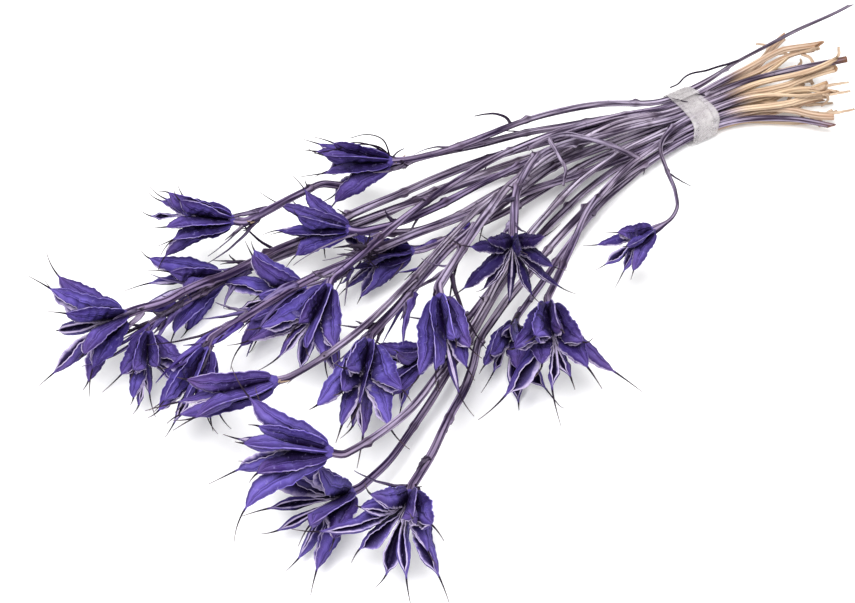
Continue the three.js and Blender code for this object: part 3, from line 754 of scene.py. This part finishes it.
def carpel_grids(number, pod):
    """All carpels of a pod, each a section carried along its line, and their marks.

    The second half of a section mirrors the first. Waves along the carpel dent its faces, and seeds inside
    swell them. Towards the beak the section turns into a small circle."""
    carpels, flare_beak, size = pod[3], pod[5], pod[6]
    stations = [np.linspace(0, 1, BODY_STATIONS), 1 + np.linspace(0, 1, BEAK_STATIONS + 1)[1:]]
    s = np.concatenate(stations)[:, None]
    k = np.arange(carpels)[:, None, None]
    out, along, angle, bearing = carpel_lines(number, pod, s)
    body = np.clip(s, 0, 1)
    beak = np.clip(s - 1, 0, 1)
    joined = lerp(*JOINED_RANGE, smoothstep(flare_beak, *FLARE_RANGE))
    loose = smoothstep(s, 0.6 * joined, joined + 0.15)
    aside, off = half_sections(number, pod, s, out, angle, joined, loose)

    half = aside.shape[-1]
    turned = np.pi * np.arange(half) / (half - 1)
    thin = size * lerp(BEAK_ROOT, BEAK_POINT, beak**0.6)
    thread = smoothstep(s, 0.9, 1.12)
    aside = lerp(aside, thin * np.sin(turned), thread)
    off = lerp(off, thin * np.cos(turned), thread)
    around = np.concatenate([np.arange(half), np.arange(half - 2, 0, -1)])
    side = np.concatenate([np.ones(half), -np.ones(half - 2)])
    aside, off = aside[..., around] * side, off[..., around]
    hit = np.array(SECTION_DENT)[around]
    right, left = waves(number, k, 14, s, 0.9), waves(number, k, 15, s, 0.9)
    pressed = np.where(side > 0, right, left) - 0.5
    aside = aside + DENT * size * hit * side * pressed * (loose * (1 - body**3)) * (1 - thread)
    seeds = np.sin(TURN * (SEEDS * s + draw(number, k, 20.5))) * np.sin(np.pi * body)
    aside = aside + SEED_SWELL * size * hit**2 * side * seeds

    twist = np.radians(TWIST) * (draw(number, k, 10) - 0.5) * smoothstep(s, joined, 1)
    cos, sin = np.cos(twist), np.sin(twist)
    aside, off = aside * cos - off * sin, aside * sin + off * cos
    bow = np.sin(np.pi * np.clip((body - joined) / (1 - joined), 0, 1))
    lean = BODY_LEAN * (2 * draw(number, k, 8) - 1) * bow
    swing = BEAK_SWING * (2 * draw(number, k, 9) - 1) * beak**1.5
    aside = aside + (size * (lean + swing))

    r = out + off * np.cos(angle)
    east, north = np.cos(bearing), np.sin(bearing)
    up = along - off * np.sin(angle)
    grid = stacked(r * east - aside * north, r * north + aside * east, up)
    return grid, carpel_marks(number, k, s, joined, thread, around)


def receptacle_grid(number, pod):
    """The knob that carries the carpels: a profile turned round the axis, lightly lobed."""
    carpels, size = pod[3], pod[6]
    along, radius = np.array(KNOB_ALONG)[:, None], np.array(KNOB_RADIUS)[:, None]
    angle = TURN * np.arange(KNOB_SIDES) / KNOB_SIDES
    reach = size * radius * (1 + 0.05 * np.cos(carpels * angle + number))
    grid = stacked(reach * np.cos(angle), reach * np.sin(angle), size * along)
    return grid[None], stacked(np.cos(angle), np.sin(angle), 0.2 * along)[None]


def seed_pod(number, pod, foot, material):
    """One pod: its carpels and the knob under them, turned to the pod's axis and set on its foot. Carpels
    that reach the floor lie flat on it."""
    axes = pod_axes(pod)
    skin = Skin()
    grid, marks = carpel_grids(number, pod)
    grid = foot + MM * grid @ axes
    grid[..., 2] = np.maximum(grid[..., 2], FLOOR_GAP * MM)
    skin.add(grid, **marks)
    knob, grain = receptacle_grid(number, pod)
    # the knob under the carpels takes some painted shade, as edge and cleft
    plain = dict(margin=0.0, edge=0.2, hollow=0.0, cleft_shade_and_dye=0.3, beak=0.0, tint=0.4, tone=0.4)
    skin.add(foot + MM * knob @ axes, grain=grain, **plain)
    return skin.piece(f"seed_pod_{number:02d}", material)


def stem_solid_line(number):
    """Centres and radii of the rings of a stem's solid, from its cut end to its pod. The cut end is the
    ring furthest towards +X, and each next ring is what the last one's corners are joined to."""
    mesh = frame["nodes"][f"stem_{number:02d}"].data
    places = np.empty(3 * len(mesh.vertices), np.float32)
    mesh.vertices.foreach_get("co", places)
    mesh.calc_loop_triangles()
    faces = np.empty(3 * len(mesh.loop_triangles), np.int32)
    mesh.loop_triangles.foreach_get("vertices", faces)
    corners, same = np.unique(np.round(places.reshape(-1, 3), 6), axis=0, return_inverse=True)
    faces = same.reshape(-1)[faces].reshape(-1, 3)
    joined = np.zeros((len(corners), len(corners)), bool)
    joined[faces, np.roll(faces, 1, axis=1)] = True
    joined |= joined.T
    ring = corners[:, 0] >= np.sort(corners[:, 0])[-SOLID_SIDES]
    seen = ring.copy()
    centres, radii = [], []
    while ring.any():
        centre = corners[ring].mean(0)
        centres.append(centre)
        radii.append(np.linalg.norm(corners[ring] - centre, axis=1).mean())
        ring = joined[ring].any(0) & ~seen
        seen |= ring
    return np.array(centres), np.array(radii)


def smooth_line(points, values, step):
    """A curve through the points, cubic between them with the chords' slopes, sampled every step; values
    are carried along straight. Also the length from the first point."""
    at = np.concatenate([[0], np.cumsum(np.linalg.norm(np.diff(points, axis=0), axis=1))])
    slope = np.gradient(points, at, axis=0)
    length = np.linspace(0, at[-1], int(at[-1] / step) + 2)
    i = np.clip(np.searchsorted(at, length, side="right") - 1, 0, len(at) - 2)
    span = (at[i + 1] - at[i])[:, None]
    t = (length - at[i])[:, None] / span
    line = (2 * t**3 - 3 * t**2 + 1) * points[i] + (3 * t**2 - 2 * t**3) * points[i + 1]
    line += (t**3 - 2 * t**2 + t) * span * slope[i] + (t**3 - t**2) * span * slope[i + 1]
    return line, np.interp(length, at, values), length


def stem_course(number, tape_middle):
    """A stem's line and radius: its solid's line with small bends, and a tail that warps towards its cut end.
    Also the length along it, the share of the tail, how far behind the tape, and the pod's foot."""
    centres, radii = stem_solid_line(number)
    foot = centres[-1].copy()
    centres[-1] = foot + STEM_INTO_POD * MM * unit(centres[-1] - centres[-2])
    line, radius, length = smooth_line(centres, radii, STEM_STEP * MM)
    behind = (line - tape_middle) @ unit(centres[0] - centres[3])
    tail = np.clip((behind - TAPE_HOLDS) / (behind[0] - TAPE_HOLDS), 0, 1)
    to_pod = length[-1] - length
    away = np.linalg.norm(line - tape_middle, axis=1)
    free = smoothstep(away, *FREE_FROM_TAPE) * smoothstep(to_pod, *FREE_FROM_POD)
    phase = TURN * draw(number, np.arange(6), 20)
    sway = np.sin(length / SWAY_WAVES[0] + phase[0]) * 0.4 + np.sin(length / SWAY_WAVES[1] + phase[1])
    lift = np.sin(length / LIFT_WAVES[0] + phase[2]) * 0.4 + np.sin(length / LIFT_WAVES[1] + phase[3])
    warp = TAIL_BOW * np.sin(phase[4]) * tail**2 + TAIL_WAVE * np.sin(8 * tail + phase[5]) * tail
    warp += TAIL_KINK * np.cos(phase[5]) * np.clip(tail - lerp(*TAIL_KINK_FROM, draw(number, 1, 40)), 0, 1)
    warp *= VIOLET_TAIL_WARP if number in VIOLET_TAILS else 1
    level = unit(np.cross(np.gradient(line, axis=0), [0, 0, 1.0]))
    line = line + (BEND * free * sway + warp)[:, None] * level
    line[:, 2] += BEND * free * lift + TAIL_RISE * draw(number, 0, 28) * tail**2
    slim = smoothstep(away, *SLIM_FROM_TAPE) * smoothstep(to_pod, *SLIM_FROM_POD)
    girth = lerp(*STEM_ROUND, draw(number, 0, 39)) * (1 + 0.05 * np.sin(length / GIRTH_WAVE + phase[3]))
    radius = radius * girth * lerp(1, THIN_STEMS.get(number, 1), slim)
    radius = radius * lerp(1, THIN_TAILS.get(number, 1), smoothstep(tail, 0, 0.3))
    line[:, 2] = np.maximum(line[:, 2], 1.1 * radius)
    return line, radius, length, tail, behind, foot


def stem(number, tape_middle, material):
    """One stem: a ribbed section that swells at the knots and flattens towards a slanting cut with a sunken
    pith. Then what grows on it: threads at the knots, split strips, leaf strips, side shoots and tufts."""
    line, radius, length, tail, behind, foot = stem_course(number, tape_middle)
    total = length[-1]
    phase = TURN * draw(number, np.arange(3), 29)
    spacing = KNOT_SPACING[0] + KNOT_SPACING[1] * draw(number, np.arange(KNOTS), 22)
    knots = KNOT_FIRST * draw(number, 0, 21) + np.cumsum(spacing)
    knots = knots[knots < total - KNOT_FREE_END]
    beside = length[:, None] - knots
    swell = np.exp(-((beside / KNOT_HALF) ** 2)).sum(1)
    angle = TURN * np.arange(STEM_SIDES) / STEM_SIDES
    scar = TURN * draw(number, np.arange(len(knots)), 23)
    bud = np.exp(-((beside / BUD_HALF) ** 2))[:, None] * np.exp(2.2 * (np.cos(angle[:, None] - scar) - 1))
    turn = STEM_RIBS * angle + STEM_RIB_TWIST * length[:, None] + phase[0]
    ribs = np.cos(turn) + 0.4 * np.cos(2 * turn + phase[1])
    flat = lerp(1, lerp(0.5, 0.9, draw(number, 1, 28)), tail)[:, None]
    shape = np.hypot(np.cos(angle - phase[2]), flat * np.sin(angle - phase[2]))
    shape = shape * (1 + STEM_RIB_DEPTH * ribs + KNOT_SWELL * swell[:, None] + BUD_SWELL * bud.sum(-1))
    rings = tube(line, radius, STEM_SIDES, shape)

    slant = CUT_SLANT * draw(number, 0, 24) * np.cos(angle + phase[1])
    rings[0] += slant[:, None] * unit(line[0] - line[1])
    heart = rings[0].mean(0)
    inward = unit(line[1] - line[0])
    share, sunk, pith = np.array(PITH_RINGS).T[..., None, None]
    grid = np.concatenate([heart + share * (rings[0] - heart) + sunk * inward, rings])

    def lengthened(values, first):
        """Values along the stem, with the first put before them for the rings of the cut."""
        return np.concatenate([np.broadcast_to(first, (len(PITH_RINGS), *values.shape[1:])), values])

    def column(values, first):
        """The same, as one value for each whole ring."""
        return lengthened(values, first)[None, :, None]

    dyed_tail = number in VIOLET_TAILS
    reach = lerp(*UNDYED_FROM, draw(number, 0, 25))
    undyed = (1 - dyed_tail) * smoothstep(behind, reach, reach + UNDYED_BLEND)
    aged = dyed_tail * VIOLET_TAIL_AGED * smoothstep(behind, *AGED_FROM)
    darker = smoothstep(total - length, *DARKER_BELOW_POD)
    tone = np.clip(0.5 * draw(number, 0, 27) ** 1.5 + 0.6 * darker, 0, 1)
    # painted shade: how deep each point lies in a groove between the ribs
    groove = np.clip(-STEM_GROOVE_SHADE * ribs - 0.1, 0, 1)
    down = 42 * lengthened(length, 0)[:, None] + 9.1 * number
    grain = stacked(1.3 * np.cos(angle), 1.3 * np.sin(angle), down)
    skin = Skin()
    skin.add(
        grid[None], grain=grain[None], groove=lengthened(groove, groove[0])[None], withered=0.0, violet=0.0,
        undyed=column(undyed, 1 - dyed_tail), tone=column(tone, tone[0]),
        knot=column(np.maximum(0.75 * np.clip(swell, 0, 1), aged), 0),
        pith=column(0.7 * draw(number, 0, 41) * np.exp(-length / PITH_STAIN), pith.ravel()),
    )
    shaft = line, radius, rings
    add_knot_threads(skin, number, shaft, np.searchsorted(length, knots), scar)
    if not dyed_tail:
        add_splits(skin, number, shaft)
    for kind in STRIP_KINDS:
        add_leaf_strips(skin, number, shaft, total - length, kind)
    carriers = line
    for thick, thin, withered, points in SHOOTS.get(number, []):
        places = tape_middle + MM * np.array(points)
        course = smooth_line(places, np.zeros(len(points)), SHOOT_STEP * MM)[0]
        course = course + nearest(carriers, course[0]) - course[0]
        carriers = np.concatenate([carriers, course])
        add_thread(skin, course, thick, thin, number, withered)
    for count, longest, tan, middle in TUFTS.get(number, []):
        rooted = nearest(line, tape_middle + MM * np.array(middle))
        tuft(skin, rooted, count, longest * MM, tan, number)
    return skin.piece(f"dry_stem_{number:02d}", material), foot


def sprout(shaft, i, point, share, along, reach, lean, bend):
    """An arc that starts a share of the radius out at one point of a stem's ring."""
    line, radius, rings = shaft
    across = unit(rings[i, point] - line[i])
    return arc_line(line[i] + share * radius[i] * across, along, across, reach, lean, bend)


def add_knot_threads(skin, number, shaft, knots, scar):
    """A withered thread on most knots, at the bud scar."""
    line = shaft[0]
    for j, i in enumerate(knots):
        if draw(number, j, 30) < KNOT_BARE:
            continue
        along = unit(line[min(i + 1, len(line) - 1)] - line[i - 1])
        reach = lerp(*KNOT_THREAD, draw(number, j, 31) ** 2)
        lean, bend = lerp(0.5, 1.1, draw(number, j, 32)), lerp(-0.6, 0.9, draw(number, j, 33))
        point = int(scar[j] / TURN * STEM_SIDES) % STEM_SIDES
        course = sprout(shaft, i, point, 0.6, along, reach, lean, bend)
        add_thread(skin, course, *KNOT_THREAD_RADII, number, withered=0.85)


def add_splits(skin, number, shaft):
    """Strips split off the cut end, that curl away from it."""
    line = shaft[0]
    for j in range(SPLITS):
        if draw(number, j, 34) < SPLIT_WHOLE:
            continue
        i, point = int(lerp(3, 12, draw(number, j, 35))), int(STEM_SIDES * draw(number, j, 36))
        reach, bend = lerp(*SPLIT_LENGTH, draw(number, j, 37)), lerp(-1.2, 2.6, draw(number, j, 38))
        course = sprout(shaft, i, point, 0.5, unit(line[0] - line[8]), reach, 0.25, bend)
        add_thread(skin, course, *SPLIT_RADII, number, withered=0.0, undyed=1.0, flat=0.4)


def add_leaf_strips(skin, number, shaft, to_pod, kind):
    """Flat leaf strips from places drawn along a stem and round it, that lean off towards the pod."""
    line = shaft[0]
    first_use, counts, length, below, half_width, lean, withered, violet = kind
    for j in range(counts.get(number, 0)):
        drawn = draw(number, j, first_use + np.arange(8))
        i = np.argmin(np.abs(to_pod - MM * lerp(*below, drawn[0] ** 1.5)))
        course = sprout(
            shaft, i, int(STEM_SIDES * drawn[1]), 0.5, unit(line[i] - line[i - 1]),
            MM * lerp(*length, drawn[2] ** 2), lerp(*lean, drawn[3]), lerp(-0.9, 0.9, drawn[4]),
        )
        add_thread(
            skin, course, lerp(*half_width, drawn[5]), STRIP_TIP, number, lerp(*withered, drawn[6]),
            flat=0.3, violet=lerp(*violet, drawn[7]),
        )


def nearest(line, place):
    """The point of a line that is nearest to a place."""
    return line[np.argmin(np.linalg.norm(line - place, axis=1))]


def arc_line(start, along, across, reach, lean, bend):
    """A line that leaves its start at an angle, lean, from one direction towards another, and turns on by
    bend on its way, both in radians."""
    angle = lean + bend * np.linspace(0, 1, ARC_POINTS)[:, None]
    steps = np.cos(angle) * along + np.sin(angle) * across
    return start + reach * np.cumsum(steps, axis=0) / len(steps)


def add_thread(skin, line, thick, thin, number, withered, undyed=0.0, flat=1.0, violet=0.0):
    """A small section along a line, thick at its root and thin at its tip, with gnarls on its way. flat
    squeezes it to a strip."""
    u = np.linspace(0, 1, len(line))
    angle = TURN * np.arange(THREAD_SIDES) / THREAD_SIDES
    gnarl = 1 + 0.18 * np.sin(19 * u + 5 * number)[:, None] * np.cos(angle)
    radius = MM * lerp(thick, thin, u)
    line[:, 2] = np.maximum(line[:, 2], radius + 0.2 * MM)
    grid = tube(line, radius, THREAD_SIDES, gnarl * np.hypot(np.cos(angle), flat * np.sin(angle)))
    grain = stacked(np.cos(angle), np.sin(angle), 3 * u[:, None] + number)
    # threads carry a little of the painted groove shade all over
    skin.add(
        grid[None], grain=grain[None], groove=0.2, undyed=undyed, tone=0.3, knot=0.0, pith=0.0,
        withered=withered, violet=violet,
    )


def tuft(skin, middle, count, reach, tan, number):
    """A tuft of withered threads: arcs from one place in directions drawn all round, some of them tan."""
    for j in range(count):
        bearing, rise = TURN * draw(number, j, 50), lerp(-0.6, 1.1, draw(number, j, 51))
        along = np.array([np.cos(bearing) * np.cos(rise), np.sin(bearing) * np.cos(rise), np.sin(rise)])
        across = unit(np.cross(along, [0.3, 0.5, 0.8]))
        start = middle + reach * 0.35 * (draw(number, j + 0.3 * np.arange(3), 52) - 0.5)
        bend = lerp(-3, 3, draw(number, j, 53))
        course = arc_line(start, along, across, reach * lerp(0.5, 1.1, draw(number, j, 54)), 0, bend)
        dry = float(draw(number, j, 55) < tan)
        root = lerp(*TUFT_ROOT, draw(number, j, 56))
        add_thread(skin, course, root, TUFT_TIP, number, 0.95 - 0.75 * dry, dry)


def tape_outline(turns):
    """Points and outward directions round the bundle at so many turns: a superellipse, walked evenly."""
    fine = np.linspace(0, TURN, 2001)
    power = 2 / TAPE_CORNERS
    y = TAPE_HALF_ACROSS * np.sign(np.cos(fine)) * np.abs(np.cos(fine)) ** power
    z = TAPE_HALF_UP * np.sign(np.sin(fine)) * np.abs(np.sin(fine)) ** power
    walked = np.concatenate([[0], np.cumsum(np.hypot(np.diff(y), np.diff(z)))])
    at = np.mod(turns, 1) * walked[-1]
    y, z = np.interp(at, walked, y), np.interp(at, walked, z)
    steep = TAPE_CORNERS - 1
    out = np.stack([
        np.sign(y) * np.abs(y / TAPE_HALF_ACROSS) ** steep / TAPE_HALF_ACROSS,
        np.sign(z) * np.abs(z / TAPE_HALF_UP) ** steep / TAPE_HALF_UP,
    ], -1)
    return np.stack([y, z], -1), unit(out), walked[-1]


def sines(turns, parts):
    """A sum of sines along the tape, each with a height, its number in a turn, and a phase."""
    return sum(height * np.sin(TURN * number * turns + phase) for height, number, phase in parts)


def tape_band(tape_middle, material):
    """The tape: a flat section wound two and a half turns round the bundle, each turn a little further out
    and further along, wrinkled, with its end standing off at the upper edge."""
    turns = np.linspace(TAPE_START, TAPE_START + TAPE_TURNS, TAPE_STEPS)
    point, out, girth = tape_outline(turns)
    layer = TAPE_LAYER * (turns - TAPE_START)
    across = np.linspace(-0.5, 0.5, TAPE_POINTS)
    ripple = sines(turns, TAPE_WRINKLES)[:, None] * np.cos(2.2 * across + 3 * turns[:, None])
    base = point[:, None] + (layer[:, None] + ripple)[..., None] * out[:, None]
    left = np.clip(turns - (turns[-1] - TAPE_FLAP / girth), 0, None) * girth
    lifted = np.tan(np.radians(TAPE_FLAP_LIFT)) * left**1.15
    base = base + lifted[:, None, None] * out[:, None]
    along = across * TAPE_WIDTH + sines(turns, TAPE_DRIFT)[:, None]
    along = along + sines(turns, TAPE_EDGES)[:, None] * across
    low = base - 0.5 * TAPE_THICKNESS * out[:, None]
    high = base + 0.5 * TAPE_THICKNESS * out[:, None]
    ring = np.concatenate([high, low[:, ::-1]], axis=1)
    place = np.concatenate([along, along[:, ::-1]], axis=1)
    yaw = np.radians(TAPE_YAW)
    x = place * np.cos(yaw) - ring[..., 0] * np.sin(yaw)
    y = place * np.sin(yaw) + ring[..., 0] * np.cos(yaw)
    grid = tape_middle + MM * np.stack([x, y, ring[..., 1] + TAPE_MIDDLE_UP], -1)
    grain = stacked(26 * turns[:, None], 0.25 * place, 0)
    skin = Skin()
    skin.add(grid[None, ::-1], grain=grain[None, ::-1])
    return skin.piece("clear_tape", material)


def shown(piece, node):
    """A piece put in the place of its solid."""
    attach(piece, "root")
    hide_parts(node)


dyed_pod = dyed_pod_material()
dyed_stem = dyed_stem_material()
milky_tape = milky_tape_material()
tape_middle = np.array(frame["record"]["mounts"][0]["pos_m"])
for number, pod in enumerate(PODS, 1):
    made, stem_end = stem(number, tape_middle, dyed_stem)
    shown(made, f"stem_{number:02d}")
    pod_foot = stem_end + POD_GAP * MM * pod_axes(pod)[2]
    shown(seed_pod(number, pod, pod_foot, dyed_pod), f"pod_{number:02d}")
shown(tape_band(tape_middle, milky_tape), "tape_band")


def floor():
    """A wide pale floor, level with the table."""
    mesh = bpy.data.meshes.new("floor")
    far = FLOOR_HALF
    mesh.from_pydata([(-far, -far, 0), (far, -far, 0), (far, far, 0), (-far, far, 0)], [], [(0, 1, 2, 3)])
    material, tree, shader = new_material("pale_floor")
    feed(tree, shader, {
        "Base Color": (FLOOR_WHITE, FLOOR_WHITE, FLOOR_WHITE, 1),
        "Emission Color": WHITE,
        "Emission Strength": FLOOR_GLOW,
        "Roughness": 0.9,
        "Specular IOR Level": 0.1,
    })
    mesh.materials.append(material)
    linked("floor", mesh)


def softbox(name, place, size, power):
    """A square soft light that faces the middle of the bunch."""
    data = bpy.data.lights.new(name, "AREA")
    data.size = size
    data.energy = power
    made = linked(name, data)
    made.location = place
    made.rotation_mode = "QUATERNION"
    made.rotation_quaternion = (-Vector(place)).to_track_quat("-Z", "Y")


def camera():
    """The camera at the photograph's angle."""
    data = bpy.data.cameras.new("camera")
    data.sensor_fit = "HORIZONTAL"
    data.sensor_width = SENSOR_WIDTH
    data.lens = SENSOR_WIDTH * CAMERA_DISTANCE / CAMERA_WIDTH_SEEN
    made = linked("camera", data)
    azimuth, elevation = np.radians([CAMERA_AZIMUTH, CAMERA_ELEVATION])
    level = np.cos(elevation)
    back = np.array([np.sin(azimuth) * level, -np.cos(azimuth) * level, np.sin(elevation)])
    made.location = tape_middle + np.array(CAMERA_FROM_TAPE) + CAMERA_DISTANCE * back
    made.rotation_mode = "QUATERNION"
    made.rotation_quaternion = Vector(-back).to_track_quat("-Z", "Y")
    bpy.context.scene.camera = made


floor()
for name, box in SOFTBOXES.items():
    softbox(name, *box)
world = bpy.data.worlds.new("studio")
world.use_nodes = True
feed(world.node_tree, world.node_tree.nodes["Background"], {"Color": WHITE, "Strength": SKY})
bpy.context.scene.world = world
bpy.context.scene.view_settings.view_transform = "Standard"
camera()
